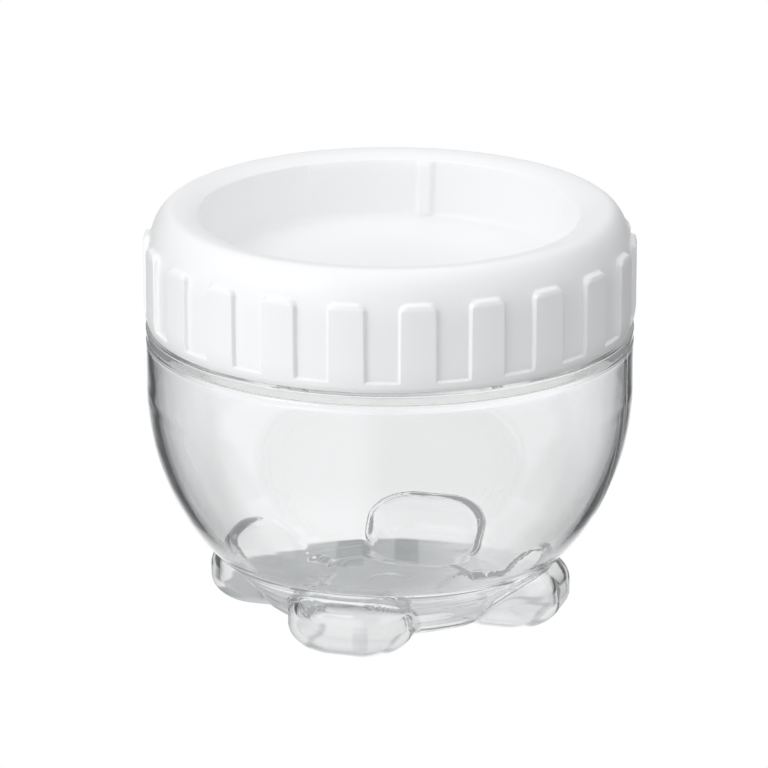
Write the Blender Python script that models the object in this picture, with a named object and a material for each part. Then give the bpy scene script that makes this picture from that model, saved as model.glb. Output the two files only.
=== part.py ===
"""Stackable screw-top container for one feed of formula powder.

A clear one-piece jar stands on four hollow feet. A white cap screws on to its
neck, and its sunken top takes the feet of a second container. A soft sealing
ring lies between the cap and the neck's rim.

Metres, +Z up. The origin is under the middle of the jar, on the plane that the
feet stand on. The feet point along X and Y. Sizes below are in mm, and angles
round the axis run from -Y towards +X.
"""
import bpy
import bmesh
from math import copysign, cos, pi, radians, sin, sqrt

MM = 0.001
SHARP_DEG = 35           # edges that bend more than this are shaded sharp
TURN_STEPS = 60          # segments round the jar and the sealing ring

# ---------------------------------------------------------------- jar sizes
WALL = 1.5
BOWL_R = 44.35           # widest radius of the bowl
BOWL_TOP_Z = 52.8
BOWL_FLAT_Z = 44.7       # the wall starts to curve in below this height
BOWL_DEPTH = 45.68       # depth of the curve that the bowl's side follows
BOWL_POWER = 2.118       # how square-shouldered that curve is
SIDE_ROWS = 8            # points down the curved side
SIDE_SPREAD = 1.25       # above 1, the points crowd towards the crease
CREASE_Z = 13.1          # the bowl's side meets the base cone here
BASE_R = 23.3            # lower end of the base cone
BASE_Z = 2.6
RECESS_R = 16.3          # shallow recess under the middle of the base
RECESS_Z = 3.2
RECESS_SLOPE = 1.2       # width of the recess's sloping edge
BEAD_R = 44.4
BEAD_LOW_Z = BOWL_TOP_Z + 0.6
BEAD_TOP_Z = 54.9
NECK_R = 40.0
NECK_BORE_R = NECK_R - 1.6
RIM_Z = 72.6
CORNER = 0.4             # bevel on the bead and the rim
CAVITY_LIFT = 0.7        # the cavity's side points sit this far above the outer ones
CAVITY_OVER = 6.0        # the cavity form runs this far past the rim

# ---------------------------------------------------------------- foot sizes
FOOT_COUNT = 4
FOOT_HALF_W = 11.2       # half width of a foot, along the tangent
FOOT_IN_R = 13.0         # inner end of a foot, inside the bowl
FOOT_OUT_R = 33.05       # furthest reach of a foot from the axis
FOOT_TOP_Z = 12.7        # a foot rounds off into the base cone below this height
FOOT_UPRIGHT_Z = (5.1, 7.0)    # the side is upright between these heights
FOOT_ROUNDING = 7.3      # how far the side draws in at the ends of its height
FOOT_IN_SHARE = 0.6      # the inner end draws in by this share of that
FOOT_POWER = 0.62        # below 1, the outline is squarer than an ellipse
FOOT_STEPS = 16
FOOT_ROWS_Z = (0.0, 0.35, 1.1, 2.3, 4.0, 6.0, 8.0, 9.8, 11.2, 12.1)

# ---------------------------------------------------------------- cap sizes
CAP_LOW_Z = BEAD_TOP_Z + 0.5
PAD_COUNT = 22           # raised grip pads round the skirt
PAD_R = 44.75
PAD_HALF_DEG = 4.2
PAD_EDGE_DEG = 0.35      # angle taken up by a pad's side face
PAD_LOW_Z = CAP_LOW_Z + 3.7
PAD_TOP_Z = 72.0
PAD_PHASE_DEG = 6.1
PANEL_R = 44.0           # skirt between the pads
BAND_TOP_Z = 57.4        # plain band under the pads and panels
CROWN_R = 39.3           # radius of the crown's crest
CROWN_Z = 76.9
CROWN_START_Z = 67.4     # the skirt starts to round over here
LIP_R = 34.8
LIP_Z = 75.8
WELL_FLOOR_Z = 65.2
WELL_FLOOR_R = 33.0
FLOOR_UNDER_Z = WELL_FLOOR_Z - 1.8
TUB_R = 37.8             # outside of the well's wall, under the cap
CAP_BORE_R = 41.9
UNDER_CROWN_Z = 74.5
RIB_PHASE_DEG = 5.4      # first rib of the well
RIB_HALF_DEG = 2.6
RIB_STEPS = 2
STEP_OFFSET_DEG = 19.8   # from a rib to the middle of the step beside it
STEP_HALF_DEG = 17.8
STEP_STEPS = 5

# ---------------------------------------------------------------- thread sizes
# right-handed, on the neck and in the cap
STARTS = 2
LEAD = 8.0
THREAD_TURN_DEG = 270.0
THREAD_START_DEG = 3
THREAD_STEPS = 36        # segments per full turn
THREAD_SINK = 0.6        # how far the root is sunk into the wall
THREAD_ROOT_HALF = 1.15  # half height of the ridge at its root
THREAD_CREST_HALF = 0.45 # half height of the crest that fades at the ends
THREAD_TIP_HALF = 0.05   # half height added to the crest all along
THREAD_END_SHARE = 0.12  # share of the full depth at the very ends
THREAD_FADE_RATE = 9     # depth share gained per unit of the ridge's length
NECK_THREAD_R = 41.5
CAP_THREAD_R = 40.4
NECK_THREAD_Z = 60.0     # middle of the neck's ridge where it starts
CAP_THREAD_Z = NECK_THREAD_Z - LEAD / STARTS / 2    # midway between the neck's ridges

# ---------------------------------------------------------------- sealing ring sizes
SEAL_IN_R = 38.2
SEAL_OUT_R = 40.6
SEAL_GAP = 0.3           # clearance above and below the ring
SEAL_LOW_Z = RIM_Z + SEAL_GAP
SEAL_TOP_Z = UNDER_CROWN_Z - SEAL_GAP


# ---------------------------------------------------------------- scene helpers
def clear_scene():
    for ob in list(bpy.data.objects):
        bpy.data.objects.remove(ob, do_unlink=True)


def make_material(name, colour, roughness, alpha=1.0):
    material = bpy.data.materials.new(name)
    material.use_nodes = True
    inputs = material.node_tree.nodes["Principled BSDF"].inputs
    inputs["Base Color"].default_value = (*colour, 1.0)
    inputs["Roughness"].default_value = roughness
    inputs["Alpha"].default_value = alpha
    return material


def make_object(name, bm, material=None, origin_z=0.0):
    """Turns a bmesh in mm world coordinates into an object in metres."""
    bmesh.ops.recalc_face_normals(bm, faces=bm.faces)
    for vert in bm.verts:
        vert.co.z -= origin_z
        vert.co *= MM
    mesh = bpy.data.meshes.new(name)
    bm.to_mesh(mesh)
    bm.free()
    mesh.shade_smooth()
    mesh.set_sharp_from_angle(angle=radians(SHARP_DEG))
    if material:
        mesh.materials.append(material)
    ob = bpy.data.objects.new(name, mesh)
    ob.location.z = origin_z * MM
    bpy.context.scene.collection.objects.link(ob)
    return ob


def apply_form(piece, name, bm, operation="UNION"):
    """Makes a hidden helper solid and joins it to the piece, or cuts it away."""
    form = make_object(name, bm)
    form.hide_render = True
    form.display_type = "WIRE"
    modifier = piece.modifiers.new(name, "BOOLEAN")
    modifier.operation = operation
    modifier.solver = "EXACT"
    modifier.object = form


# ---------------------------------------------------------------- shape helpers
def polar(radius, angle, z):
    return (radius * sin(angle), -radius * cos(angle), z)


def skin_rings(rings):
    """Skins rings of points, where a ring of one point is a pole on the axis.
    Without a pole at the start, the last ring joins back to the first."""
    bm = bmesh.new()
    rings = [[bm.verts.new(point) for point in ring] for ring in rings]
    pairs = list(zip(rings, rings[1:]))
    if len(rings[0]) > 1:
        pairs.append((rings[-1], rings[0]))
    for a, b in pairs:
        count = max(len(a), len(b))
        for i in range(count):
            j = (i + 1) % count
            if len(a) == 1:
                bm.faces.new((a[0], b[i], b[j]))
            elif len(b) == 1:
                bm.faces.new((a[i], b[0], a[j]))
            else:
                bm.faces.new((a[i], b[i], b[j], a[j]))
    return bm


def skin_sections(sections):
    """Skins a row of closed sections and caps its two ends."""
    bm = bmesh.new()
    sections = [[bm.verts.new(point) for point in section] for section in sections]
    for a, b in zip(sections, sections[1:]):
        for i in range(len(a)):
            j = (i + 1) % len(a)
            bm.faces.new((a[i], a[j], b[j], b[i]))
    bm.faces.new(sections[0])
    bm.faces.new(sections[-1])
    return bm


def lathe(profile, turn=0.0):
    """A solid of revolution from a profile of (radius, z) that starts and ends
    on the axis, or that closes on itself."""
    return skin_rings([
        [polar(radius, turn + 2 * pi * i / TURN_STEPS, z)
         for i in range(TURN_STEPS if radius > 0 else 1)]
        for radius, z in profile])


def sector(mid_deg, half_deg, radii, heights, steps):
    """A curved block between two radii and two heights."""
    r_in, r_out = radii
    z_low, z_high = heights
    corners = ((r_in, z_low), (r_out, z_low), (r_out, z_high), (r_in, z_high))
    return skin_sections([
        [polar(radius, radians(mid_deg - half_deg + 2 * half_deg * i / steps), z)
         for radius, z in corners]
        for i in range(steps + 1)])


# ---------------------------------------------------------------- screw thread
def thread_ridge(root_r, crest_r, start_deg, start_z):
    """A helical ridge of trapezoid section that fades in and out at its ends."""
    sunk_r = root_r - copysign(THREAD_SINK, crest_r - root_r)
    steps = int(THREAD_TURN_DEG / 360 * THREAD_STEPS)
    sections = []
    for i in range(steps + 1):
        part = i / steps
        turned = THREAD_TURN_DEG * part
        angle = radians(start_deg + turned)
        z = start_z + LEAD * turned / 360
        fade = min(1.0, THREAD_END_SHARE + min(part, 1 - part) * THREAD_FADE_RATE)
        radius = root_r + (crest_r - root_r) * fade
        half = THREAD_CREST_HALF * fade + THREAD_TIP_HALF
        sections.append([polar(sunk_r, angle, z - THREAD_ROOT_HALF),
                         polar(radius, angle, z - half),
                         polar(radius, angle, z + half),
                         polar(sunk_r, angle, z + THREAD_ROOT_HALF)])
    return skin_sections(sections)


def add_thread(piece, name, root_r, crest_r, start_z):
    for k in range(STARTS):
        start_deg = 360.0 / STARTS * k + THREAD_START_DEG
        apply_form(piece, f"{name}_{k + 1}", thread_ridge(root_r, crest_r, start_deg, start_z))


# ---------------------------------------------------------------- jar
def bowl_r(z):
    if z >= BOWL_FLAT_Z:
        return BOWL_R
    return BOWL_R * sqrt(1 - ((BOWL_FLAT_Z - z) / BOWL_DEPTH) ** BOWL_POWER)


def bowl_side(lift=0.0, wall=0.0):
    """Points up the curved side, raised by lift and moved in by wall."""
    heights = [CREASE_Z + lift
               + (BOWL_FLAT_Z - CREASE_Z) * (i / (SIDE_ROWS - 1)) ** SIDE_SPREAD
               for i in range(SIDE_ROWS)]
    return [(bowl_r(z) - wall, z) for z in heights]


def jar_outer():
    return [
        (0.0, RECESS_Z), (RECESS_R - RECESS_SLOPE, RECESS_Z),
        (RECESS_R, BASE_Z), (BASE_R, BASE_Z),
        *bowl_side(),
        # top of the bowl and the fine groove under the bead
        (BOWL_R, BOWL_TOP_Z - 0.1), (BOWL_R - 0.4, BOWL_TOP_Z + 0.3),
        # bead
        (BEAD_R - 0.3, BEAD_LOW_Z), (BEAD_R, BEAD_LOW_Z + CORNER),
        (BEAD_R, BEAD_TOP_Z - CORNER), (BEAD_R - CORNER, BEAD_TOP_Z),
        # neck and rim
        (NECK_R + 0.5, BEAD_TOP_Z), (NECK_R, BEAD_TOP_Z + 0.6),
        (NECK_R, RIM_Z - CORNER), (NECK_R - CORNER, RIM_Z), (0.0, RIM_Z)]


def jar_inner():
    return [
        # floor, a little thinner over the recess
        (0.0, RECESS_Z + WALL - 0.1), (RECESS_R - 4.0, RECESS_Z + WALL - 0.25),
        (BASE_R - 0.6, BASE_Z + WALL),
        *bowl_side(CAVITY_LIFT, WALL),
        # shoulder that slopes in to the neck's bore
        (BOWL_R - WALL, BEAD_TOP_Z - 3.2), (NECK_BORE_R + 0.4, BEAD_TOP_Z + 1.4),
        (NECK_BORE_R, BEAD_TOP_Z + 2.0),
        (NECK_BORE_R, RIM_Z + CAVITY_OVER), (0.0, RIM_Z + CAVITY_OVER)]


def foot_section(z):
    """A foot's inner end, its reach from the axis and its half width at a height.
    The side rounds off in quarter ellipses below and above its upright part."""
    low, high = FOOT_UPRIGHT_Z
    if z < low:
        part = sqrt(max(0.0, 1 - ((low - z) / low) ** 2))
    elif z > high:
        part = sqrt(max(0.0, 1 - ((z - high) / (FOOT_TOP_Z - high)) ** 2))
    else:
        part = 1.0
    drawn_in = FOOT_ROUNDING * (1 - part)
    return FOOT_IN_R + FOOT_IN_SHARE * drawn_in, FOOT_OUT_R - drawn_in, FOOT_HALF_W - drawn_in


def squared(value):
    """A sine or cosine, bent to make a squarer outline than an ellipse."""
    return copysign(abs(value) ** FOOT_POWER, value)


def foot(direction, inset=0.0):
    """A rounded lobe from the ground up into the bowl, pointing along direction.
    An inset shrinks it on all sides, for the hollow."""
    sections = []
    for height in FOOT_ROWS_Z:
        inner, reach, half = foot_section(height)
        inner, reach, half = inner + inset, reach - inset, half - inset
        middle, length = (inner + reach) / 2, (reach - inner) / 2
        z = height + inset * (1.0 - 2.0 * height / FOOT_TOP_Z)
        section = []
        for i in range(FOOT_STEPS):
            angle = 2 * pi * (i + 0.5) / FOOT_STEPS
            along = middle + length * squared(cos(angle))
            across = half * squared(sin(angle))
            section.append((along * sin(direction) + across * cos(direction),
                            -along * cos(direction) + across * sin(direction), z))
        sections.append(section)
    return skin_sections(sections)


def build_jar(material):
    half_step = pi / TURN_STEPS
    directions = [2 * pi * k / FOOT_COUNT for k in range(FOOT_COUNT)]
    jar = make_object("jar", lathe(jar_outer(), half_step), material)
    for number, direction in enumerate(directions, 1):
        apply_form(jar, f"foot_form_{number}", foot(direction))
    add_thread(jar, "neck_thread_form", NECK_R, NECK_THREAD_R, NECK_THREAD_Z)
    apply_form(jar, "cavity_form", lathe(jar_inner(), half_step), "DIFFERENCE")
    for number, direction in enumerate(directions, 1):
        apply_form(jar, f"foot_hollow_form_{number}", foot(direction, WALL), "DIFFERENCE")


# ---------------------------------------------------------------- cap
def crown_r(z):
    """Radius of the rounded shoulder, which the panels run up into."""
    part = max(0.0, z - CROWN_START_Z) / (CROWN_Z - CROWN_START_Z)
    return CROWN_R + (PANEL_R - CROWN_R) * sqrt(1 - part ** 2)


def plain_rows(points):
    """Rows for (radius, z) points where panels and pads are flush."""
    return [(radius, radius, z, PAD_HALF_DEG) for radius, z in points]


def cap_profile():
    """Rows of (radius on a panel, radius on a pad, z, half width of the pad in
    degrees), from the well's floor over the crown and back under the floor."""
    crown = [(CROWN_R + (PANEL_R - CROWN_R) * cos(radians(degrees)),
              CROWN_START_Z + (CROWN_Z - CROWN_START_Z) * sin(radians(degrees)))
             for degrees in (72, 54, 36)]
    # (drop below the pad's top, radius on the pad, half width)
    pad_top = [(-0.5, crown_r(PAD_TOP_Z + 0.5), PAD_HALF_DEG - 1.3),
               (0.0, PAD_R - 0.25, PAD_HALF_DEG - 1.1),
               (0.8, PAD_R - 0.03, PAD_HALF_DEG - 0.35),
               (2.2, PAD_R, PAD_HALF_DEG)]
    return [
        *plain_rows([
            # well
            (0.0, WELL_FLOOR_Z), (WELL_FLOOR_R, WELL_FLOOR_Z),
            (WELL_FLOOR_R + 0.7, WELL_FLOOR_Z + 0.7),
            # lip and crown
            (LIP_R - 0.1, LIP_Z - 0.5), (LIP_R + 0.3, LIP_Z),
            (LIP_R + 1.9, LIP_Z + 0.72), (CROWN_R, CROWN_Z), *crown]),
        # the pad's top edge and rounded corners
        *[(crown_r(PAD_TOP_Z - drop), radius, PAD_TOP_Z - drop, half)
          for drop, radius, half in pad_top],
        # the pad's face and its lower edge
        (PANEL_R, PAD_R, CROWN_START_Z, PAD_HALF_DEG),
        (PANEL_R, PAD_R, PAD_LOW_Z, PAD_HALF_DEG),
        (PANEL_R - 0.3, PAD_R - 0.38, BAND_TOP_Z + 0.2, PAD_HALF_DEG),
        *plain_rows([
            # band and bottom edge
            (PAD_R - 0.42, BAND_TOP_Z), (PAD_R - 0.8, CAP_LOW_Z + 0.3),
            (PAD_R - 1.1, CAP_LOW_Z), (CAP_BORE_R + 0.5, CAP_LOW_Z),
            # bore, underside of the crown, outside of the well
            (CAP_BORE_R, CAP_LOW_Z + 0.6), (CAP_BORE_R, UNDER_CROWN_Z - 1.2),
            (CAP_BORE_R - 0.9, UNDER_CROWN_Z), (TUB_R, UNDER_CROWN_Z),
            (TUB_R - 0.7, FLOOR_UNDER_Z + 1.6), (TUB_R - 2.4, FLOOR_UNDER_Z),
            (0.0, FLOOR_UNDER_Z)])]


def cap_shell():
    """The cap as one turned surface whose skirt steps out at each grip pad."""
    rings = []
    for panel_r, pad_r, z, half in cap_profile():
        if panel_r == 0:
            rings.append([(0.0, 0.0, z)])
            continue
        edge = half + PAD_EDGE_DEG
        corners = ((-edge, panel_r), (-half, pad_r), (half, pad_r), (edge, panel_r))
        rings.append([polar(radius, radians(PAD_PHASE_DEG + 360.0 * k / PAD_COUNT + offset), z)
                      for k in range(PAD_COUNT) for offset, radius in corners])
    return skin_rings(rings)


def well_rib(at_deg):
    """An upright rib on the well's wall."""
    return sector(at_deg, RIB_HALF_DEG, radii=(LIP_R - 1.6, LIP_R + 0.5),
                  heights=(WELL_FLOOR_Z - 0.5, LIP_Z - 0.7), steps=RIB_STEPS)


def well_step(at_deg):
    """A shallow curved step high on the well's wall."""
    return sector(at_deg, STEP_HALF_DEG, radii=(LIP_R - 0.62, LIP_R + 0.4),
                  heights=(LIP_Z - 5.5, LIP_Z - 1.1), steps=STEP_STEPS)


def build_cap(material):
    cap = make_object("screw_cap", cap_shell(), material, origin_z=CAP_LOW_Z)
    for k in range(FOOT_COUNT):
        at_deg = RIB_PHASE_DEG + 360 / FOOT_COUNT * k
        apply_form(cap, f"rib_form_{k + 1}", well_rib(at_deg))
        apply_form(cap, f"step_form_{k + 1}", well_step(at_deg + STEP_OFFSET_DEG))
    add_thread(cap, "cap_thread_form", CAP_BORE_R, CAP_THREAD_R, CAP_THREAD_Z)


# ---------------------------------------------------------------- sealing ring
def build_seal(material):
    profile = [(SEAL_IN_R, SEAL_LOW_Z), (SEAL_OUT_R, SEAL_LOW_Z),
               (SEAL_OUT_R, SEAL_TOP_Z), (SEAL_IN_R, SEAL_TOP_Z)]
    make_object("seal_ring", lathe(profile), material, origin_z=SEAL_LOW_Z)


clear_scene()
build_jar(make_material("clear_plastic", colour=(0.90, 0.92, 0.93), roughness=0.05, alpha=0.3))
build_cap(make_material("white_plastic", colour=(0.90, 0.90, 0.90), roughness=0.38))
build_seal(make_material("soft_silicone", colour=(0.82, 0.82, 0.80), roughness=0.6))
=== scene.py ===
"""Looks for the stackable screw-top formula container: a clear jar on four
hollow feet, a white screw cap with grip pads, and its sealing ring."""
import bpy
import numpy as np
from math import sin, cos, pi, radians, sqrt
from mathutils import Matrix, Vector


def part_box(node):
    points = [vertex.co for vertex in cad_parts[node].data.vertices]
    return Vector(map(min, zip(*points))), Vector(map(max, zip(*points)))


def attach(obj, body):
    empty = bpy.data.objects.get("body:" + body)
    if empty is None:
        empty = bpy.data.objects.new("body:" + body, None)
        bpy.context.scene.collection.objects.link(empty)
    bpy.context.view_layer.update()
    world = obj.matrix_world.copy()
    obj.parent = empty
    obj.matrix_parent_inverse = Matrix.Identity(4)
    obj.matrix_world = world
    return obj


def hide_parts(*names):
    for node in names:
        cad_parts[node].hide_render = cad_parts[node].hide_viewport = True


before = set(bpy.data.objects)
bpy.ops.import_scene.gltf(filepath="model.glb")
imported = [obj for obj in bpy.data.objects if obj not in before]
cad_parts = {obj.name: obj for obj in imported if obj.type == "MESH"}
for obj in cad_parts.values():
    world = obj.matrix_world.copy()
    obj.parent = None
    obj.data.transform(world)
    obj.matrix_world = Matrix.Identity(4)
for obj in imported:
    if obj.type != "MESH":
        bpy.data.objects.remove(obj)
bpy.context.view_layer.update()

MM = 0.001
JAR_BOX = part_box("jar")
CAP_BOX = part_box("screw_cap")
SEAL_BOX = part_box("seal_ring")

# -------------------------------------------------- sizes in mm, tied to the CAD boxes
BEAD_R = max(JAR_BOX[1][0], JAR_BOX[1][1]) / MM + 0.1
BOWL_R = BEAD_R - 0.03
RIM_Z = JAR_BOX[1][2] / MM
GROUND_Z = JAR_BOX[0][2] / MM
CAP_LOW_Z = CAP_BOX[0][2] / MM
CROWN_Z = CAP_BOX[1][2] / MM
PAD_R = max(CAP_BOX[1][0], CAP_BOX[1][1]) / MM
PANEL_R = PAD_R - 0.75
SEAL_LOW_Z, SEAL_TOP_Z = SEAL_BOX[0][2] / MM, SEAL_BOX[1][2] / MM
SEAL_OUT_R = SEAL_BOX[1][0] / MM
SEAL_IN_R = SEAL_OUT_R - 2.4

WALL = 1.5
BOWL_FLAT_Z, BOWL_DEPTH, BOWL_POWER = 44.7, 45.68, 2.118
CREASE_Z = 13.1
BASE_R, BASE_Z = 23.3, 2.6
NECK_R, NECK_BORE_R = 40.0, 38.4
BEAD_TOP_Z = CAP_LOW_Z - 0.35
FOOT_OUT_R, FOOT_IN_R, FOOT_HALF_W, FOOT_ROUND = 33.3, 6.0, 11.65, 8.2
FOOT_CORNER = 9.0          # radius of a foot's corners as seen from above
FOOT_RAMP_R, FOOT_RAMP = 20.5, 0.34          # the sole rises towards the axis inside this radius
# a foot's outline is upright from FOOT_LOW_Z to FOOT_HIGH_Z and rounds off below and above
FOOT_LOW_Z, FOOT_HIGH_Z, FOOT_CAP_H = 5.1, 7.0, 5.7
LIP_R, LIP_Z = 34.8, CROWN_Z - 1.1
CROWN_R, CROWN_START_Z = 39.3, CROWN_Z - 9.5
WELL_FLOOR_Z, WELL_FLOOR_R = CROWN_Z - 11.7, 33.4
FLOOR_UNDER_Z, UNDER_CROWN_Z = WELL_FLOOR_Z - 1.8, CROWN_Z - 2.4
TUB_R, CAP_BORE_R = 37.8, 41.9
PAD_COUNT, PAD_HALF_W, PAD_PHASE = 22, 3.28, 6.5
PAD_TOP_Z, BAND_TOP_Z = 71.6, 57.4
RIB_PHASE, STEP_SPAN = 5.4, 37.6
LEAD, THREAD_TURN = 8.0, 270.0
NECK_THREAD_R, CAP_THREAD_R = 41.5, 40.4
NECK_THREAD_Z, CAP_THREAD_Z = 60.0, 58.0
CAMERA_AZ, CAMERA_EL = 16.5, 17.85

# brightness of the studio's soft panels
WORLD = {"base": 0.30, "sweep": 0.74, "behind_high": 0.20, "top": 0.71, "left_high": 0.94, "left_low": 0.73,
         "right_high": 1.09, "right_low": 0.0, "front_left": 0.79, "front_right": 0.0, "low": 0.43}
KEY = 2.4
# the jar's shade on the floor: its radius in mm and its depth
SHADE_R, SHADE = 35.5, 0.50
# the strip of lit floor under the jar as clear parts see it: half width, ends and tone
LIT_SIDE, LIT_FRONT, LIT_BACK, LIT = 50.0, -60.0, 150.0, 0.93
# tone of the painted glow on the cap's bore, under its crown and round its bottom edge
PAINTED_SEEP_GLOW = 0.40
# tone of the painted glow that stands in for the light thrown to and fro inside the clear wall
PAINTED_TRAPPED_GLOW = 0.17


# -------------------------------------------------- numeric helpers
def smooth(lo, hi, x):
    t = np.clip((x - lo) / (hi - lo), 0.0, 1.0)
    return t * t * (3 - 2 * t)


def smin(a, b, k):
    h = np.clip(0.5 + 0.5 * (b - a) / k, 0.0, 1.0)
    return b + (a - b) * h - k * h * (1 - h)


def fillet(corners, steps=7):
    """Rounds the corners of an open line of (x, y, radius) and returns its points."""
    pts = []
    n = len(corners)
    for i, (x, y, rad) in enumerate(corners):
        p = np.array([x, y], float)
        if i in (0, n - 1) or rad <= 0:
            pts.append(p)
            continue
        a = np.array(corners[i - 1][:2], float) - p
        b = np.array(corners[i + 1][:2], float) - p
        la, lb = np.linalg.norm(a), np.linalg.norm(b)
        a, b = a / la, b / lb
        ang = np.arccos(np.clip(a @ b, -1, 1))
        cut = min(rad / np.tan(ang / 2), 0.48 * la, 0.48 * lb)
        s, e = p + a * cut, p + b * cut
        for k in range(steps + 1):
            t = k / steps
            pts.append((1 - t) ** 2 * s + 2 * t * (1 - t) * p + t * t * e)
    return np.array(pts)


def resample(pts, spacing):
    """Points along a line, no further apart than spacing, that keep its corners."""
    out = [pts[0]]
    for a, b in zip(pts[:-1], pts[1:]):
        n = max(1, int(np.ceil(np.linalg.norm(b - a) / spacing)))
        for k in range(1, n + 1):
            out.append(a + (b - a) * k / n)
    return np.array(out)


def sd_polygon(x, y, poly):
    """Signed distance to a closed polygon, negative inside."""
    px, py = x.ravel(), y.ravel()
    d = np.full(px.shape, 1e18)
    s = np.ones(px.shape)
    m = len(poly)
    for i in range(m):
        ax, ay = poly[i]
        bx, by = poly[i - 1]
        ex, ey = bx - ax, by - ay
        wx, wy = px - ax, py - ay
        t = np.clip((wx * ex + wy * ey) / (ex * ex + ey * ey), 0, 1)
        qx, qy = wx - ex * t, wy - ey * t
        d = np.minimum(d, qx * qx + qy * qy)
        c1, c2, c3 = py >= ay, py < by, ex * wy > ey * wx
        flip = (c1 & c2 & c3) | (~c1 & ~c2 & ~c3)
        s = np.where(flip, -s, s)
    return (s * np.sqrt(d)).reshape(x.shape)


def mesh_object(name, rings, closed_ends=True, loop=False):
    """A surface through rings of points: each ring is an (n, 3) array in mm, and a
    ring of one point closes an end."""
    verts, starts = [], []
    count = 0
    for ring in rings:
        starts.append((count, len(ring)))
        verts.append(ring)
        count += len(ring)
    verts = np.concatenate(verts) * MM
    faces = []
    pairs = list(zip(starts, starts[1:]))
    if loop:
        pairs.append((starts[-1], starts[0]))
    for (a, na), (b, nb) in pairs:
        n = max(na, nb)
        i = np.arange(n)
        j = (i + 1) % n
        if na == 1:
            faces += [(a, b + int(q), b + int(p)) for p, q in zip(i, j)]
        elif nb == 1:
            faces += [(a + int(p), a + int(q), b) for p, q in zip(i, j)]
        else:
            faces += list(zip((a + i).tolist(), (a + j).tolist(), (b + j).tolist(), (b + i).tolist()))
    mesh = bpy.data.meshes.new(name)
    mesh.from_pydata(verts.tolist(), [], faces)
    mesh.validate()
    mesh.update()
    mesh.shade_smooth()
    ob = bpy.data.objects.new(name, mesh)
    bpy.context.scene.collection.objects.link(ob)
    # turn the faces outwards if the enclosed volume came out negative
    tris = np.zeros(len(mesh.loop_triangles) * 3, dtype=np.int32)
    mesh.calc_loop_triangles()
    tris = np.zeros(len(mesh.loop_triangles) * 3, dtype=np.int32)
    mesh.loop_triangles.foreach_get("vertices", tris)
    tri = verts[tris.reshape(-1, 3)]
    volume = np.einsum("ij,ij->i", tri[:, 0], np.cross(tri[:, 1], tri[:, 2])).sum() / 6
    if volume < 0:
        mesh.flip_normals()
    return ob


def ring_of(angles, radius, z):
    radius = np.broadcast_to(radius, angles.shape)
    z = np.broadcast_to(z, angles.shape)
    return np.stack([radius * np.sin(angles), -radius * np.cos(angles), z], -1)


def helix_bump(angles, z, start_z, half, run=THREAD_TURN):
    """Height, 0 to 1, of the two thread ridges at each angle for one z."""
    deg = np.degrees(angles)
    best = np.zeros(angles.shape)
    for start in (3.0, 183.0):
        turned = (deg - start) % 360.0
        for extra in (0.0, 360.0):
            t = turned + extra
            live = t <= run
            mid = start_z + LEAD * t / 360.0
            fade = smooth(0, 26, t) * smooth(0, 26, run - t)
            away = np.abs(z - mid)
            shape = 1 - smooth(half * 0.45, half * 1.15, away)
            best = np.maximum(best, np.where(live, shape * fade, 0.0))
    return best


# -------------------------------------------------- jar
def bowl_r(z):
    u = np.clip((BOWL_FLAT_Z - z) / BOWL_DEPTH, 0, None)
    return BOWL_R * np.sqrt(np.clip(1 - u ** BOWL_POWER, 0, None))


def base_line(plain):
    """Half section of the bowl and its base without feet, from the axis outwards.
    The underside has a recessed disc with soft rings; the inside is plain."""
    if plain:
        corners = [(0, 3.1, 0), (9.0, 3.0, 3.0), (17.0, 2.75, 3.0)]
    else:
        corners = [(0, 3.55, 0), (3.4, 3.55, 1.6), (5.6, 3.37, 1.6), (9.0, 3.46, 1.8), (14.8, 3.4, 0.7),
                   (16.3, 2.5, 0.6), (19.5, 2.48, 1.2)]
    corners += [(BASE_R - 1.1, BASE_Z - 0.05, 1.0), (BASE_R + 0.35, BASE_Z + 0.95, 1.2)]
    edge = float(bowl_r(CREASE_Z))
    low = (BASE_R + 0.35, BASE_Z + 0.95)
    for t in (0.2, 0.4, 0.6, 0.8):            # the cone is very slightly hollow
        sag = 0.6 * 4 * t * (1 - t) * 0.7071
        corners.append((low[0] + (edge - low[0]) * t - sag, low[1] + (CREASE_Z - low[1]) * t + sag, 0.0))
    corners.append((edge, CREASE_Z, 0.3))
    zs = np.linspace(CREASE_Z, BOWL_FLAT_Z, 40)
    corners += [(float(bowl_r(z)), float(z), 0) for z in zs[2:]]
    corners.append((BOWL_R, 60.0, 0))
    return fillet(corners, 6)


def closed(line):
    return np.concatenate([line, (line * np.array([-1, 1]))[::-1][:-1]])


OUTER_POLY = closed(base_line(False))
INNER_POLY = closed(base_line(True))


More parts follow.
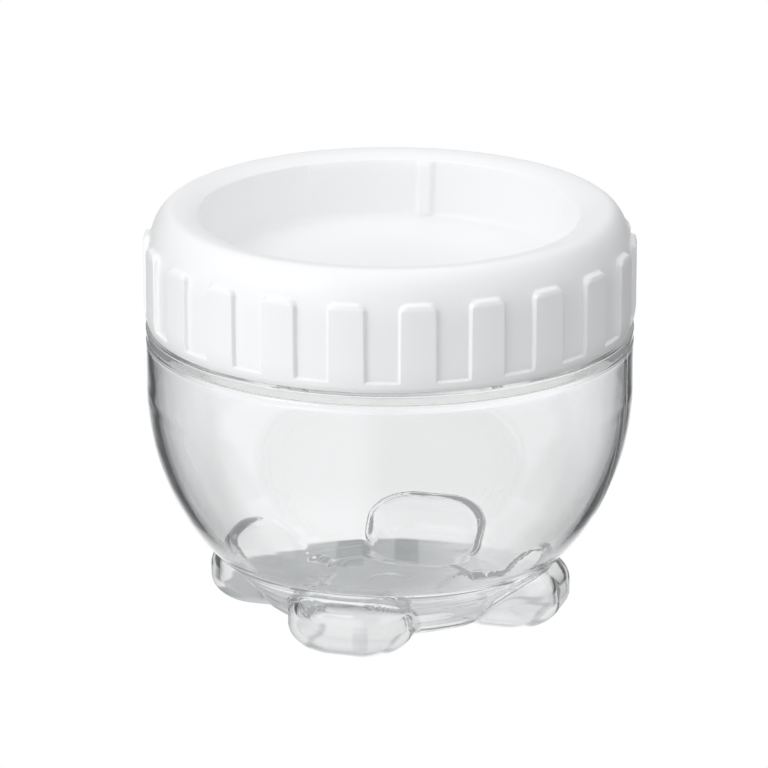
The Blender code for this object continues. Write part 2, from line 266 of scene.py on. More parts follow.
def jar_field(x, y, z, poly, blend):
    """Distance to the jar's outside: the bowl with its base cone, and four feet."""
    d = sd_polygon(np.hypot(x, y), z, poly)
    mid, half = (FOOT_OUT_R + FOOT_IN_R) / 2, (FOOT_OUT_R - FOOT_IN_R) / 2
    for k in range(4):
        a = k * pi / 2
        u = x * sin(a) - y * cos(a)
        v = x * cos(a) + y * sin(a)
        q0 = np.abs(u - mid) - (half - FOOT_CORNER)
        q1 = np.abs(v) - (FOOT_HALF_W - FOOT_CORNER)
        plan = np.hypot(np.maximum(q0, 0), np.maximum(q1, 0)) + np.minimum(np.maximum(q0, q1), 0) \
            - FOOT_CORNER + FOOT_ROUND
        # heights are stretched so that the ends of the lobe are parts of ellipses
        low = z - GROUND_Z - 0.15 * (v / 10) ** 2
        low = low - FOOT_RAMP * (np.sqrt(np.maximum(FOOT_RAMP_R - u, 0) ** 2 + 2.0) - 1.414) * (u < FOOT_RAMP_R)
        h = np.where(low < FOOT_LOW_Z, (FOOT_LOW_Z - low) * FOOT_ROUND / FOOT_LOW_Z,
                     np.where(low > FOOT_HIGH_Z, (low - FOOT_HIGH_Z) * FOOT_ROUND / FOOT_CAP_H, 0.0))
        lobe = np.hypot(np.maximum(plan, 0), h) + np.where(h > 0, 0.0, np.minimum(plan, 0)) - FOOT_ROUND
        d = smin(d, lobe, blend)
    return d


CENTRE_Z = 27.0
JOIN_Z = 22.0


def shell_rows(angles, level, poly, blend, count):
    """Rings of points from the pole under the jar up to JOIN_Z, on the surface
    where the jar's field equals level."""
    end = np.arctan2(34.0, CENTRE_Z - JOIN_Z)
    rings = []
    # rows closer together where the feet are
    near, mid_phi = pi * 27 / 180, pi * 39 / 180
    low, mid_rows = count // 7, count // 6
    phis = np.concatenate([np.linspace(0, near, low + 1)[1:], np.linspace(near, mid_phi, mid_rows + 1)[1:],
                           np.linspace(mid_phi, end, count - low - mid_rows + 1)[1:]])
    A, PHI = np.meshgrid(angles, phis)
    dx, dy, dz = np.sin(PHI) * np.sin(A), -np.sin(PHI) * np.cos(A), -np.cos(PHI)
    lo, hi = np.full(A.shape, 3.0), np.full(A.shape, 62.0)
    for _ in range(18):
        mid = (lo + hi) / 2
        f = jar_field(dx * mid, dy * mid, CENTRE_Z + dz * mid, poly, blend) - level
        lo, hi = np.where(f < 0, mid, lo), np.where(f < 0, hi, mid)
    t = (lo + hi) / 2
    pts = np.stack([dx * t, dy * t, CENTRE_Z + dz * t], -1)
    # pole
    lo, hi = 3.0, 62.0
    for _ in range(30):
        mid = (lo + hi) / 2
        f = float(jar_field(np.array([0.0]), np.array([0.0]), np.array([CENTRE_Z - mid]), poly, blend)[0]) - level
        lo, hi = (mid, hi) if f < 0 else (lo, mid)
    rings.append(np.array([[0.0, 0.0, CENTRE_Z - lo]]))
    rings += [pts[i] for i in range(count)]
    last = pts[-1]
    return rings, float(np.hypot(last[0, 0], last[0, 1])), float(last[0, 2])


def jar_angles():
    """Ring angles, closer together along the sides of the feet."""
    part = np.concatenate([np.linspace(0, 12, 13)[:-1], np.linspace(12, 43, 59)[:-1], np.linspace(43, 45, 4)])
    half = np.concatenate([part, (90 - part[:-1])[::-1]])[:-1]
    return np.radians(np.concatenate([half + 90 * k for k in range(4)]))


def build_jar():
    ang = jar_angles()
    rows = 140
    outer, r0, z0 = shell_rows(ang, 0.0, OUTER_POLY, 0.85, rows)
    inner, ri, zi = shell_rows(ang, -WALL, INNER_POLY, 1.8, rows)
    # outside, from the join up over the bead and the neck to the rim
    zs = np.linspace(z0, BOWL_FLAT_Z, 34)[1:]
    line = [(float(bowl_r(z)), float(z), 0) for z in zs]
    line += [(BOWL_R, BEAD_TOP_Z - 2.3, 0.5), (BOWL_R - 0.3, BEAD_TOP_Z - 1.95, 0.25),
             (BEAD_R - 0.1, BEAD_TOP_Z - 1.6, 0.35), (BEAD_R, BEAD_TOP_Z - 0.1, 0.3),
             (BEAD_R - 0.5, BEAD_TOP_Z, 0.2), (NECK_R + 0.2, BEAD_TOP_Z + 0.05, 0.8),
             (NECK_R, BEAD_TOP_Z + 1.6, 0.3), (NECK_R, RIM_Z - 0.1, 0.7),
             (NECK_BORE_R + 0.1, RIM_Z, 0.7), (NECK_BORE_R, RIM_Z - 2.0, 0)]
    line = fillet(line, 5)
    fine = resample(line, 0.45)
    rings = list(outer)
    seam = np.abs(np.cos(ang))          # the parting plane runs through the +X and -X feet
    for r, z in fine:
        radius = np.full(ang.shape, r)
        if BEAD_TOP_Z + 1.4 < z < RIM_Z - 1.0 and r > NECK_R - 0.2:
            radius = radius + (NECK_THREAD_R - NECK_R) * helix_bump(ang, z, NECK_THREAD_Z, 1.15)
        elif z < BEAD_TOP_Z + 0.2:
            radius = radius + 0.07 * (1 - smooth(0.0, 0.012, seam))
        rings.append(ring_of(ang, radius, z))
    # inside, from the rim down the neck and round the shoulder to the bowl
    inside = fillet([(NECK_BORE_R, RIM_Z - 2.0, 0), (NECK_BORE_R, BEAD_TOP_Z + 2.0, 1.2),
                     (BOWL_R - WALL - 0.05, BEAD_TOP_Z - 3.1, 1.6),
                     (BOWL_R - WALL, BOWL_FLAT_Z - 2.0, 0)], 6)
    inside = resample(inside, 0.8)[1:]
    for r, z in inside:
        rings.append(ring_of(ang, r, z))
    zs = np.linspace(BOWL_FLAT_Z - 2.0, zi, 22)[1:-1]
    lo, hi = np.full(zs.shape, 10.0), np.full(zs.shape, 50.0)
    for _ in range(26):
        mid = (lo + hi) / 2
        f = sd_polygon(mid, zs, INNER_POLY) + WALL
        lo, hi = np.where(f < 0, mid, lo), np.where(f < 0, hi, mid)
    for r, z in zip(lo, zs):
        rings.append(ring_of(ang, r, z))
    rings += inner[::-1]
    return mesh_object("clear_jar", rings)


# -------------------------------------------------- cap
def crown_r(z):
    part = np.clip((z - CROWN_START_Z) / (CROWN_Z - CROWN_START_Z), 0, 1)
    return CROWN_R + (PANEL_R - CROWN_R) * np.sqrt(1 - part ** 2)


def cap_columns():
    """Offsets in degrees inside one pad's pitch, close together at its edges."""
    half = 180.0 / PAD_COUNT
    edge = np.degrees(PAD_HALF_W / PAD_R)
    side = np.concatenate([np.linspace(0, edge - 0.55, 6)[:-1],
                           np.linspace(edge - 0.55, edge + 0.55, 7)[:-1],
                           np.linspace(edge + 0.55, half, 5)])
    return np.concatenate([-side[::-1][:-1], side])[:-1], half


def pad_mask(mm_off, z):
    """1 on a pad or on the band under the panels, 0 on a panel, soft at the edges."""
    top, rad = PAD_TOP_Z, 1.5
    lean = 0.008 * (z - BAND_TOP_Z)               # a trace of draft
    qx = np.abs(mm_off) - (PAD_HALF_W + 0.1 - lean) + rad
    qz = (z - top) + rad
    d = np.hypot(np.maximum(qx, 0), np.maximum(qz, 0)) + np.minimum(np.maximum(qx, qz), 0) - rad
    d = np.minimum(d, z - BAND_TOP_Z)
    return 1 - smooth(-0.22, 0.24, d)


def build_cap():
    cols, half = cap_columns()
    per = len(cols)
    offs = np.tile(cols, PAD_COUNT)
    mids = np.repeat(PAD_PHASE + 360.0 / PAD_COUNT * np.arange(PAD_COUNT), per)
    clustered = np.radians(mids + offs)
    n = len(clustered)
    first = clustered[0]
    even = first + 2 * pi * np.arange(n) / n
    rings = []
    # floor of the well, its corner, the wall and the lip
    slope = [(LIP_R + (CROWN_R - LIP_R) * t, LIP_Z + (CROWN_Z - LIP_Z) * (1 - (1 - t) ** 1.9), 0)
             for t in np.linspace(0.16, 1.0, 10)]
    well = fillet([(0.0, WELL_FLOOR_Z, 0), (WELL_FLOOR_R, WELL_FLOOR_Z, 1.6),
                   (LIP_R, LIP_Z, 0.38)] + slope, 8)
    well = resample(well, 0.45)
    keep = [well[0]]
    for p in well[1:]:
        # wide steps on the plain floor
        if p[0] < WELL_FLOOR_R - 1.5 and np.linalg.norm(p - keep[-1]) < 3.4:
            continue
        keep.append(p)
    well = np.array(keep)
    for r, z in well:
        if r < 1e-6:
            rings.append(np.array([[0.0, 0.0, z]]))
            continue
        w = float(smooth(LIP_R + 0.3, CROWN_R, np.array(r))) if z > LIP_Z - 0.5 else 0.0
        ang = even * (1 - w) + clustered * w
        radius = np.full(n, r)
        if WELL_FLOOR_Z + 0.02 < z < LIP_Z and WELL_FLOOR_R - 1.2 < r < LIP_R + 0.1:
            deg = (np.degrees(ang) - RIB_PHASE) % 90.0
            deg = np.where(deg > 65, deg - 90, deg)
            arcmm = np.radians(deg) * LIP_R
            end = radians(STEP_SPAN) * LIP_R
            rib = smooth(-2.0, -0.9, arcmm) * (1 - smooth(0.9, 2.0, arcmm))
            step = smooth(0.5, 1.8, arcmm) * (1 - smooth(end - 0.8, end, arcmm))
            low = smooth(WELL_FLOOR_Z + 0.02, WELL_FLOOR_Z + 0.9, np.array(z))
            rib_h = float(low * (1 - 0.5 * smooth(LIP_Z - 0.9, LIP_Z, np.array(z))))
            step_h = float(smooth(LIP_Z - 8.0, LIP_Z - 2.5, np.array(z)) * (1 - 0.6 * smooth(LIP_Z - 0.9, LIP_Z, np.array(z))))
            radius = radius - np.maximum(0.62 * rib * rib_h, 0.34 * step * step_h)
        rings.append(ring_of(ang, radius, z))
    # crown and skirt, outside
    zs = [CROWN_START_Z + (CROWN_Z - CROWN_START_Z) * sin(t) for t in np.linspace(pi / 2, radians(32), 26)[1:]]
    zs = [z for z in zs if z > PAD_TOP_Z + 0.8]
    zs += list(np.arange(PAD_TOP_Z + 0.8, PAD_TOP_Z - 1.9, -0.12))
    zs += list(np.arange(PAD_TOP_Z - 1.9, BAND_TOP_Z + 0.8, -0.55))
    zs += list(np.arange(BAND_TOP_Z + 0.7, BAND_TOP_Z - 0.5, -0.12))
    zs += list(np.arange(BAND_TOP_Z - 0.6, CAP_LOW_Z + 0.55, -0.3))
    mm_off = np.radians(offs) * PAD_R
    for z in zs:
        base = float(crown_r(z))
        taper = 0.8 * max(0.0, (CAP_LOW_Z + 3.9 - z) / 3.9) ** 1.6
        base -= min(0.35, taper * 0.5)
        face = PAD_R - taper - 0.32 * float(smooth(PAD_TOP_Z - 1.2, PAD_TOP_Z + 0.3, np.array(z)))
        mask = pad_mask(mm_off, z)
        radius = base + np.maximum(face - base, 0) * mask
        rings.append(ring_of(clustered, radius, z))
    # bottom edge, bore with the thread, under the crown, the tub's outside and its floor
    rest = fillet([(PAD_R - 0.75, CAP_LOW_Z + 0.5, 0), (PAD_R - 0.85, CAP_LOW_Z, 0.45),
                   (CAP_BORE_R, CAP_LOW_Z, 0.5), (CAP_BORE_R, UNDER_CROWN_Z, 1.3),
                   (TUB_R, UNDER_CROWN_Z, 0.5), (TUB_R - 0.6, FLOOR_UNDER_Z, 2.2),
                   (0.0, FLOOR_UNDER_Z, 0)], 6)
    rest = resample(rest, 0.42)
    keep = [rest[0]]
    for p in rest[1:]:
        step = np.linalg.norm(p - keep[-1])
        if p[0] < TUB_R - 4.0 and step < 3.4 and p[0] > 1e-6:
            continue
        if abs(p[0] - CAP_BORE_R) < 1e-3 and p[1] > 67 and step < 1.5:
            continue
        if CAP_BORE_R > p[0] > TUB_R - 1.2 and 66.5 < p[1] < UNDER_CROWN_Z - 0.7 and step < 1.5:
            continue
        keep.append(p)
    for r, z in keep:
        if r < 1e-6:
            rings.append(np.array([[0.0, 0.0, z]]))
            continue
        radius = np.full(n, r)
        if abs(r - CAP_BORE_R) < 1e-3 and CAP_LOW_Z + 0.7 < z < 67:
            radius = radius - (CAP_BORE_R - CAP_THREAD_R) * helix_bump(clustered, z, CAP_THREAD_Z, 1.15)
        rings.append(ring_of(clustered, radius, z))
    return mesh_object("white_screw_cap", rings)


def build_seal():
    """A soft ring with rounded edges and a small sealing bead on its underside."""
    mid_r, mid_z = (SEAL_IN_R + SEAL_OUT_R) / 2, (SEAL_LOW_Z + SEAL_TOP_Z) / 2
    hw, hh = (SEAL_OUT_R - SEAL_IN_R) / 2, (SEAL_TOP_Z - SEAL_LOW_Z) / 2
    sec = fillet([(mid_r, mid_z - hh, 0), (mid_r + hw, mid_z - hh, 0.35), (mid_r + hw, mid_z + hh, 0.35),
                  (mid_r - hw, mid_z + hh, 0.35), (mid_r - hw, mid_z - hh, 0.35), (mid_r, mid_z - hh, 0)], 5)[:-1]
    sec = resample(np.concatenate([sec, sec[:1]]), 0.3)[:-1]
    ang = 2 * pi * np.arange(240) / 240
    rings = []
    for r, z in sec:
        lift = 0.12 * np.cos(pi * np.clip((r - mid_r) / 0.5, -1, 1) / 2) ** 2 if z < mid_z else 0.0
        rings.append(ring_of(ang, r, z + lift))
    return mesh_object("silicone_seal", rings, loop=True)


# -------------------------------------------------- materials
def new_material(name):
    mat = bpy.data.materials.new(name)
    mat.use_nodes = True
    nt = mat.node_tree
    return mat, nt, nt.nodes["Principled BSDF"]


def noise(nt, scale, detail=3.0, rough=0.5, coords=None):
    node = nt.nodes.new("ShaderNodeTexNoise")
    node.inputs["Scale"].default_value = scale
    node.inputs["Detail"].default_value = detail
    node.inputs["Roughness"].default_value = rough
    if coords is not None:
        nt.links.new(coords, node.inputs["Vector"])
    return node.outputs["Fac"]


def ramp(nt, fac, lo, hi, out_lo, out_hi):
    node = nt.nodes.new("ShaderNodeMapRange")
    node.inputs["From Min"].default_value = lo
    node.inputs["From Max"].default_value = hi
    node.inputs["To Min"].default_value = out_lo
    node.inputs["To Max"].default_value = out_hi
    nt.links.new(fac, node.inputs["Value"])
    return node.outputs["Result"]


def bump(nt, height, strength, distance, chain=None):
    node = nt.nodes.new("ShaderNodeBump")
    node.inputs["Strength"].default_value = strength
    node.inputs["Distance"].default_value = distance
    nt.links.new(height, node.inputs["Height"])
    if chain is not None:
        nt.links.new(chain, node.inputs["Normal"])
    return node.outputs["Normal"]


def object_coords(nt):
    return nt.nodes.new("ShaderNodeTexCoord").outputs["Object"]


def clear_plastic():
    mat, nt, b = new_material("clear_moulded_plastic")
    co = object_coords(nt)
    b.inputs["Base Color"].default_value = (0.958, 0.964, 0.966, 1)
    b.inputs["Transmission Weight"].default_value = 1.0
    b.inputs["IOR"].default_value = 1.50
    # faint handling haze in the polish, and the slow waviness of a moulded wall
    haze = noise(nt, 160.0, 5.0, 0.65, co)
    nt.links.new(ramp(nt, haze, 0.45, 0.85, 0.004, 0.035), b.inputs["Roughness"])
    slow = noise(nt, 55.0, 2.0, 0.4, co)
    nt.links.new(bump(nt, slow, 0.35, 0.00025), b.inputs["Normal"])
    # painted glow: after several glossy bounces inside the wall, the wall emits an even grey, standing in for the light
    # thrown to and fro in it
    path = nt.nodes.new("ShaderNodeLightPath")
    nt.links.new(ramp(nt, path.outputs["Glossy Depth"], 3.4, 3.6, 0.0, PAINTED_TRAPPED_GLOW), b.inputs["Emission Strength"])
    b.inputs["Emission Color"].default_value = (0.97, 0.99, 1.0, 1)
    return mat


def white_plastic():
    mat, nt, b = new_material("white_moulded_plastic")
    co = object_coords(nt)
    # flow lines and cooling leave a barely visible change of tone
    tone = noise(nt, 38.0, 3.0, 0.5, co)
    mix = nt.nodes.new("ShaderNodeMix")
    mix.data_type = "RGBA"
    mix.inputs[6].default_value = (0.885, 0.886, 0.886, 1)
    mix.inputs[7].default_value = (0.915, 0.915, 0.913, 1)
    nt.links.new(tone, mix.inputs[0])
    nt.links.new(mix.outputs[2], b.inputs["Base Color"])
    sheen = noise(nt, 900.0, 4.0, 0.6, co)
    nt.links.new(ramp(nt, sheen, 0.3, 0.7, 0.30, 0.42), b.inputs["Roughness"])
    b.inputs["IOR"].default_value = 1.49
    b.inputs["Subsurface Weight"].default_value = 0.12
    b.inputs["Subsurface Radius"].default_value = (1.0, 1.0, 1.0)
    b.inputs["Subsurface Scale"].default_value = 0.0012
    grain = noise(nt, 2600.0, 3.0, 0.6, co)
    nt.links.new(bump(nt, grain, 0.25, 0.00003), b.inputs["Normal"])
    # painted glow: emission on the bore, under the crown and round the bottom edge stands in for light seeping through
    # the thin wall and lifts the tone of the cap's inside
    flat = nt.nodes.new("ShaderNodeVectorMath")
    flat.operation = "MULTIPLY"
    flat.inputs[1].default_value = (1 / MM, 1 / MM, 0)
    nt.links.new(co, flat.inputs[0])
    dist = nt.nodes.new("ShaderNodeVectorMath")
    dist.operation = "LENGTH"
    nt.links.new(flat.outputs[0], dist.inputs[0])
    sep = nt.nodes.new("ShaderNodeSeparateXYZ")
    nt.links.new(co, sep.inputs[0])
    radius, height = dist.outputs["Value"], sep.outputs[2]

    def join(op, *parts):
        res = parts[0]
        for part in parts[1:]:
            node = nt.nodes.new("ShaderNodeMath")
            node.operation = op
            nt.links.new(res, node.inputs[0])
            nt.links.new(part, node.inputs[1])
            res = node.outputs[0]
        return res

    bore = join("MULTIPLY", ramp(nt, radius, CAP_BORE_R + 0.05, CAP_BORE_R + 0.15, 1.0, 0.0),
                ramp(nt, radius, TUB_R - 1.5, TUB_R - 0.9, 0.0, 1.0),
                ramp(nt, height, (UNDER_CROWN_Z + 0.03) * MM, (UNDER_CROWN_Z + 0.12) * MM, 1.0, 0.0))
    under = join("MULTIPLY", ramp(nt, height, (FLOOR_UNDER_Z + 0.2) * MM, (FLOOR_UNDER_Z + 0.5) * MM, 1.0, 0.0),
                 ramp(nt, radius, TUB_R, TUB_R + 0.5, 1.0, 0.0))
    edge = join("MULTIPLY", ramp(nt, height, (CAP_LOW_Z + 0.1) * MM, (CAP_LOW_Z + 0.3) * MM, 1.0, 0.0),
                ramp(nt, radius, PAD_R - 1.05, PAD_R - 0.85, 1.0, 0.0))
    glow = join("MAXIMUM", bore, under, edge)
    nt.links.new(ramp(nt, glow, 0.0, 1.0, 0.0, PAINTED_SEEP_GLOW), b.inputs["Emission Strength"])
    b.inputs["Emission Color"].default_value = (0.985, 1.0, 0.965, 1)
    return mat


def silicone():
    mat, nt, b = new_material("soft_silicone")
    co = object_coords(nt)
    tone = noise(nt, 120.0, 3.0, 0.5, co)
    mix = nt.nodes.new("ShaderNodeMix")
    mix.data_type = "RGBA"
    mix.inputs[6].default_value = (0.80, 0.81, 0.80, 1)
    mix.inputs[7].default_value = (0.86, 0.86, 0.85, 1)
    nt.links.new(tone, mix.inputs[0])
    nt.links.new(mix.outputs[2], b.inputs["Base Color"])
    b.inputs["Roughness"].default_value = 0.55
    b.inputs["Subsurface Weight"].default_value = 0.4
    b.inputs["Subsurface Scale"].default_value = 0.0015
    grain = noise(nt, 3000.0, 2.0, 0.5, co)
    nt.links.new(bump(nt, grain, 0.4, 0.00004), b.inputs["Normal"])
    return mat


# -------------------------------------------------- build
jar = build_jar()
jar.data.materials.append(clear_plastic())
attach(jar, "jar")
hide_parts("jar")

cap = build_cap()
cap.data.materials.append(white_plastic())
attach(cap, "cap")
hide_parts("screw_cap")

seal = build_seal()
seal.data.materials.append(silicone())
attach(seal, "seal")
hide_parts("seal_ring")


# -------------------------------------------------- studio
def studio_world():
    """Soft panels round the object: a white sweep right behind it, dark gaps to its
    sides so that clear edges read, and panels above, beside and behind the camera.
    The directions follow the camera."""
    world = bpy.data.worlds.new("studio")
    bpy.context.scene.world = world
    world.use_nodes = True
    nt = world.node_tree
    nt.nodes.clear()
    out = nt.nodes.new("ShaderNodeOutputWorld")
    bg = nt.nodes.new("ShaderNodeBackground")
    nt.links.new(bg.outputs[0], out.inputs[0])
    co = nt.nodes.new("ShaderNodeTexCoord")
    vt = nt.nodes.new("ShaderNodeVectorTransform")
    vt.vector_type = "VECTOR"
    vt.convert_from, vt.convert_to = "WORLD", "CAMERA"
    nt.links.new(co.outputs["Generated"], vt.inputs[0])
    sep = nt.nodes.new("ShaderNodeSeparateXYZ")
    nt.links.new(vt.outputs[0], sep.inputs[0])
    wsep = nt.nodes.new("ShaderNodeSeparateXYZ")
    nt.links.new(co.outputs["Generated"], wsep.inputs[0])

    def m(op, a, b=None):
        node = nt.nodes.new("ShaderNodeMath")
        node.operation = op
        for i, v in enumerate((a, b)):
            if v is None:
                continue
            if isinstance(v, (int, float)):
                node.inputs[i].default_value = v
            else:
                nt.links.new(v, node.inputs[i])
        return node.outputs[0]

    def soft(x, lo, hi):
        """0 below lo and 1 above hi, or the reverse when hi is the smaller."""
        node = nt.nodes.new("ShaderNodeMapRange")
        node.interpolation_type = "SMOOTHSTEP"
        node.inputs["From Min"].default_value = min(lo, hi)
        node.inputs["From Max"].default_value = max(lo, hi)
        if hi < lo:
            node.inputs["To Min"].default_value = 1.0
            node.inputs["To Max"].default_value = 0.0
        nt.links.new(x, node.inputs["Value"])
        return node.outputs["Result"]

    def both(*masks):
        res = masks[0]
        for mask in masks[1:]:
            res = m("MULTIPLY", res, mask)
        return res

    el = radians(CAMERA_EL)
    x = sep.outputs[0]
    ahead = m("ADD", m("MULTIPLY", sep.outputs[2], cos(el)), m("MULTIPLY", sep.outputs[1], sin(el)))
    up = wsep.outputs[2]
    side = m("ABSOLUTE", x)
    panels = {
        "sweep": both(soft(side, 0.30, 0.14), soft(ahead, 0.0, 0.2), soft(up, 0.16, 0.02)),
        "behind_high": both(soft(side, 0.75, 0.55), soft(ahead, 0.0, 0.25), soft(up, 0.06, 0.22), soft(up, 0.75, 0.55)),
        "top": soft(up, 0.55, 0.75),
        "left_high": both(soft(x, -0.4, -0.65), soft(ahead, 0.3, 0.1), soft(up, 0.05, 0.2), soft(up, 0.75, 0.55)),
        "left_low": both(soft(x, -0.5, -0.75), soft(ahead, 0.1, -0.1), soft(up, 0.2, 0.05)),
        "right_high": both(soft(x, 0.4, 0.65), soft(ahead, 0.3, 0.1), soft(up, 0.05, 0.2), soft(up, 0.75, 0.55)),
        "right_low": both(soft(x, 0.5, 0.75), soft(ahead, 0.1, -0.1), soft(up, 0.2, 0.05)),
        "front_left": both(soft(x, 0.0, -0.3), soft(x, -0.75, -0.5), soft(ahead, -0.1, -0.35), soft(up, 0.75, 0.55)),
        "front_right": both(soft(x, 0.0, 0.3), soft(x, 0.75, 0.5), soft(ahead, -0.1, -0.35), soft(up, 0.75, 0.55)),
        "low": soft(up, -0.45, -0.8),
    }
    total = m("ADD", WORLD["base"], 0.0)
    for name, mask in panels.items():
        total = m("ADD", total, m("MULTIPLY", mask, WORLD[name]))
    # black cards just outside the sweep draw the clear edges
    cards = both(soft(side, 0.26, 0.36), soft(side, 0.98, 0.85), soft(ahead, 0.0, 0.2), soft(up, 0.5, 0.2))
    total = m("MULTIPLY", total, m("SUBTRACT", 1.0, m("MULTIPLY", cards, 0.72)))
    comb = nt.nodes.new("ShaderNodeCombineColor")
    for i, gain in enumerate((0.99, 0.996, 1.01)):
        nt.links.new(m("MULTIPLY", total, gain), comb.inputs[i])
    nt.links.new(comb.outputs[0], bg.inputs["Color"])
    bg.inputs["Strength"].default_value = 1.0


def floor():
    mesh = bpy.data.meshes.new("floor")
    s = 40.0
    z = GROUND_Z * MM - 0.0002
    mesh.from_pydata([(-s, -s, z), (s, -s, z), (s, s, z), (-s, s, z)], [], [(0, 1, 2, 3)])
    ob = bpy.data.objects.new("floor", mesh)
    bpy.context.scene.collection.objects.link(ob)
    # white to the camera; to light that passes on, a clear sheet with the soft
    # round shade of the jar on it
    mat = bpy.data.materials.new("pale_floor")
    mat.use_nodes = True
    nt = mat.node_tree
    nt.nodes.clear()
    out = nt.nodes.new("ShaderNodeOutputMaterial")
    em = nt.nodes.new("ShaderNodeEmission")
    em.inputs["Color"].default_value = (1, 1, 1, 1)
    em.inputs["Strength"].default_value = 1.0
    clear = nt.nodes.new("ShaderNodeBsdfTransparent")
    geo = nt.nodes.new("ShaderNodeNewGeometry")
    az = radians(CAMERA_AZ)

    def math(op, a, b=None):
        node = nt.nodes.new("ShaderNodeMath")
        node.operation = op
        for i, v in enumerate((a, b)):
            if isinstance(v, (int, float)):
                node.inputs[i].default_value = v
            elif v is not None:
                nt.links.new(v, node.inputs[i])
        return node.outputs[0]

    def soft(value, lo, hi, at_lo, at_hi):
        node = nt.nodes.new("ShaderNodeMapRange")
        node.interpolation_type = "SMOOTHSTEP"
        node.inputs["From Min"].default_value = lo
        node.inputs["From Max"].default_value = hi
        node.inputs["To Min"].default_value = at_lo
        node.inputs["To Max"].default_value = at_hi
        nt.links.new(value, node.inputs["Value"])
        return node.outputs["Result"]

    sep = nt.nodes.new("ShaderNodeSeparateXYZ")
    nt.links.new(geo.outputs["Position"], sep.inputs[0])
    px, py = math("MULTIPLY", sep.outputs[0], 1 / MM), math("MULTIPLY", sep.outputs[1], 1 / MM)
    dist = math("SQRT", math("ADD", math("MULTIPLY", px, px), math("MULTIPLY", py, py)))
    side = math("ADD", math("MULTIPLY", px, cos(az)), math("MULTIPLY", py, sin(az)))
    deep = math("ADD", math("MULTIPLY", px, -sin(az)), math("MULTIPLY", py, cos(az)))
    # the shade is deepest behind and to the left of the middle
    depth = math("MULTIPLY", soft(dist, SHADE_R - 1.2, SHADE_R + 1.2, 1.0, 0.0), soft(side, 2.0, 24.0, 1.0, 0.25))
    depth = math("MULTIPLY", depth, soft(deep, -14.0, 4.0, 0.12, 1.0))
    # with two darker patches near its far edge
    patch = math("ADD", soft(math("ABSOLUTE", math("ADD", side, 7.5)), 2.2, 3.0, 1.0, 0.0),
                 soft(math("ABSOLUTE", math("SUBTRACT", side, 3.2)), 2.0, 2.8, 0.8, 0.0))
    patch = math("MULTIPLY", patch, soft(deep, 17.0, 21.0, 0.0, 0.36))
    depth = math("MULTIPLY", depth, math("ADD", patch, 1.0))
    # and a faint contact shade round the soles of the feet
    ring = None
    for k in range(4):
        a = k * pi / 2
        u = math("SUBTRACT", math("MULTIPLY", px, sin(a)), math("MULTIPLY", py, cos(a)))
        v = math("ABSOLUTE", math("ADD", math("MULTIPLY", px, cos(a)), math("MULTIPLY", py, sin(a))))
        outer = math("MULTIPLY", soft(u, 30.5, 33.0, 1.0, 0.0),
                     math("MULTIPLY", soft(v, 8.0, 11.0, 1.0, 0.0), soft(u, 14.0, 17.0, 0.0, 1.0)))
        inner = math("MULTIPLY", soft(u, 27.6, 29.2, 1.0, 0.0), soft(v, 6.6, 8.4, 1.0, 0.0))
        part = math("MULTIPLY", outer, math("SUBTRACT", 1.0, inner))
        ring = part if ring is None else math("MAXIMUM", ring, part)
    depth = math("MAXIMUM", depth, math("MULTIPLY", ring, 0.8))
    # and a narrow streak in front
    streak = math("MULTIPLY", soft(math("ABSOLUTE", math("ADD", side, 5.4)), 1.0, 1.9, 1.0, 0.0),
                  math("MULTIPLY", soft(deep, -33.0, -30.0, 0.0, 1.0), soft(deep, -16.0, -13.0, 0.45, 0.0)))
    depth = math("MAXIMUM", depth, streak)
    tone = math("SUBTRACT", 1.0, math("MULTIPLY", depth, 1.0 - SHADE))
    tint = nt.nodes.new("ShaderNodeCombineColor")
    lit = nt.nodes.new("ShaderNodeCombineColor")
    for i, power in enumerate((1.03, 1.0, 0.97)):
        part = math("POWER", tone, power)
        nt.links.new(part, tint.inputs[i])
        nt.links.new(math("MULTIPLY", part, LIT), lit.inputs[i])
    nt.links.new(tint.outputs[0], clear.inputs["Color"])
    path = nt.nodes.new("ShaderNodeLightPath")
    # clear parts see a lit floor near the jar
    glow = nt.nodes.new("ShaderNodeEmission")
    nt.links.new(lit.outputs[0], glow.inputs["Color"])
    near = nt.nodes.new("ShaderNodeMixShader")
    through = path.outputs["Is Transmission Ray"]
    strip = math("MULTIPLY", soft(math("ABSOLUTE", side), LIT_SIDE - 15.0, LIT_SIDE, 1.0, 0.0),
                 math("MULTIPLY", soft(deep, LIT_FRONT, LIT_FRONT + 25.0, 0.0, 1.0),
                      soft(deep, LIT_BACK - 40.0, LIT_BACK, 1.0, 0.0)))
    nt.links.new(math("MULTIPLY", through, strip), near.inputs[0])
    nt.links.new(clear.outputs[0], near.inputs[1])
    nt.links.new(glow.outputs[0], near.inputs[2])
    mix = nt.nodes.new("ShaderNodeMixShader")
    nt.links.new(path.outputs["Is Camera Ray"], mix.inputs[0])
    nt.links.new(near.outputs[0], mix.inputs[1])
    nt.links.new(em.outputs[0], mix.inputs[2])
    nt.links.new(mix.outputs[0], out.inputs[0])
    mesh.materials.append(mat)


def area(name, where, size, power, target=(0, 0, 0.04)):
    data = bpy.data.lights.new(name, "AREA")
    data.shape = "RECTANGLE"
    data.size, data.size_y = size
    data.energy = power
    ob = bpy.data.objects.new(name, data)
    ob.location = where
    ob.rotation_euler = (Vector(target) - Vector(where)).to_track_quat("-Z", "Y").to_euler()
    bpy.context.scene.collection.objects.link(ob)
    ob.visible_transmission = False
    return ob


studio_world()
floor()
az = radians(CAMERA_AZ)
right, ahead = Vector((cos(az), sin(az), 0)), Vector((-sin(az), cos(az), 0))
area("key_left", -right * 0.75 - ahead * 0.55 + Vector((0, 0, 0.75)), (0.5, 0.5), KEY)

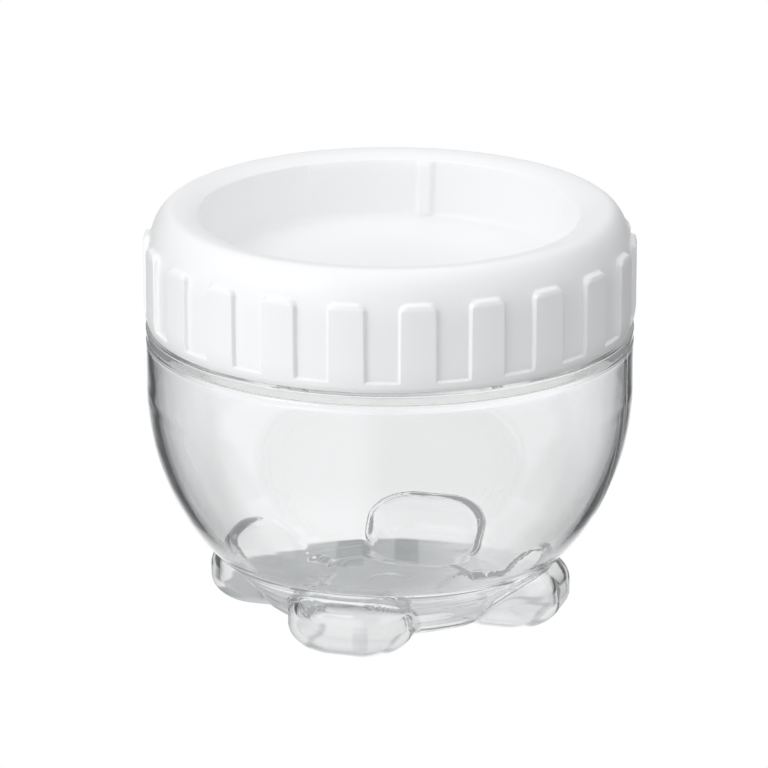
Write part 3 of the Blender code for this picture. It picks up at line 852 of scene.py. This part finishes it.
cam_data = bpy.data.cameras.new("camera")
cam_data.sensor_width = 36.0
cam_data.lens = 6024.0 / 768.0 * 36.0
cam_data.clip_start, cam_data.clip_end = 0.05, 200.0
cam = bpy.data.objects.new("camera", cam_data)
bpy.context.scene.collection.objects.link(cam)
el = radians(CAMERA_EL)
target = right * (-1.07 * MM) + Vector((0, 0, 43.08 * MM))
cam.location = target + 1.1 * Vector((sin(az) * cos(el), -cos(az) * cos(el), sin(el)))
cam.rotation_euler = (target - cam.location).to_track_quat("-Z", "Y").to_euler()
bpy.context.scene.camera = cam
bpy.context.scene.view_settings.view_transform = "Standard"
